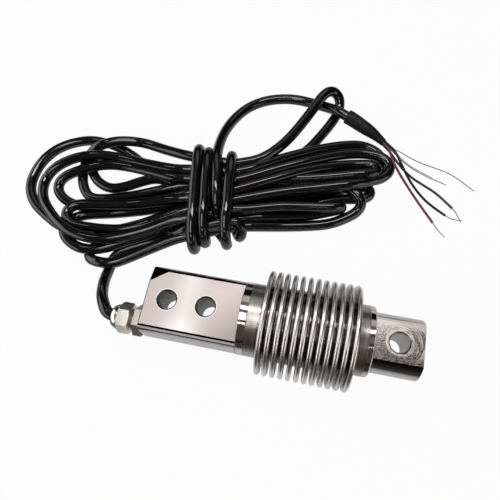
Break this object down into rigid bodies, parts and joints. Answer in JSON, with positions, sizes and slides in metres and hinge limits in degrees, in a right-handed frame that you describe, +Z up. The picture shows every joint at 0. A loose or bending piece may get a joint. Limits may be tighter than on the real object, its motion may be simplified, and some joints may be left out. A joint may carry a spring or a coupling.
{
  "type": "bellows load cell",
  "caption": "Bending-beam force sensor: a flat-sided steel bar sealed by a metal bellows, with bolt holes, a load lug and a cable tied in a hank.",
  "frame": {"origin": "midway between the two mounting holes, on the lower milled face of the block", "axes": "+X along the bar to the load lug, +Z up through the mounting holes, +Y to the side of the hank"},
  "size_m": [0.2443, 0.1688, 0.0461],
  "materials": {
    "ground_steel": "ground stainless steel, fine cross grain on the flats",
    "polished_steel": "polished stainless steel",
    "plated_brass": "nickel plate, slightly warm",
    "board": "green laminate",
    "component": "black chip",
    "gauge_foil": "amber film over foil",
    "seal_rubber": "matt black",
    "claw_plastic": "natural",
    "cable_jacket": "glossy black",
    "shrink_sleeve": "matt black",
    "red_insulation": "satin",
    "black_insulation": "satin",
    "green_insulation": "satin",
    "white_insulation": "satin",
    "tinned_copper": "tinned strands"
  },
  "bodies": {
    "root": {"measuring_body": "ground_steel", "bellows": "polished_steel", "ring_block_side": "polished_steel", "ring_load_side": "polished_steel", "terminal_board": "board", "balance_resistor": "component", "span_resistor_a": "component", "span_resistor_b": "component", "gland_body": "plated_brass", "gland_nut": "plated_brass", "gland_seal": "seal_rubber", "gland_claw": "claw_plastic", "gland_o_ring": "seal_rubber", "cable_entry": "cable_jacket", "cable_lead": "cable_jacket", "cable_hank": "cable_jacket", "cable_loop": "cable_jacket", "cable_tail": "cable_jacket", "heat_shrink_sleeve": "shrink_sleeve", "drain_wire": "tinned_copper", "cable_wrap_left": "cable_jacket", "cable_wrap_middle": "cable_jacket", "cable_wrap_right": "cable_jacket", "gauge_top_block": "gauge_foil", "gauge_wire_top_block": "tinned_copper", "gauge_top_load": "gauge_foil", "gauge_wire_top_load": "tinned_copper", "gauge_bottom_block": "gauge_foil", "gauge_wire_bottom_block": "tinned_copper", "gauge_bottom_load": "gauge_foil", "gauge_wire_bottom_load": "tinned_copper", "red_core": "red_insulation", "inner_red": "red_insulation", "red_tip": "tinned_copper", "black_core": "black_insulation", "inner_black": "black_insulation", "black_tip": "tinned_copper", "green_core": "green_insulation", "inner_green": "green_insulation", "green_tip": "tinned_copper", "white_core": "white_insulation", "inner_white": "white_insulation", "white_tip": "tinned_copper"}
  },
  "joints": []
}
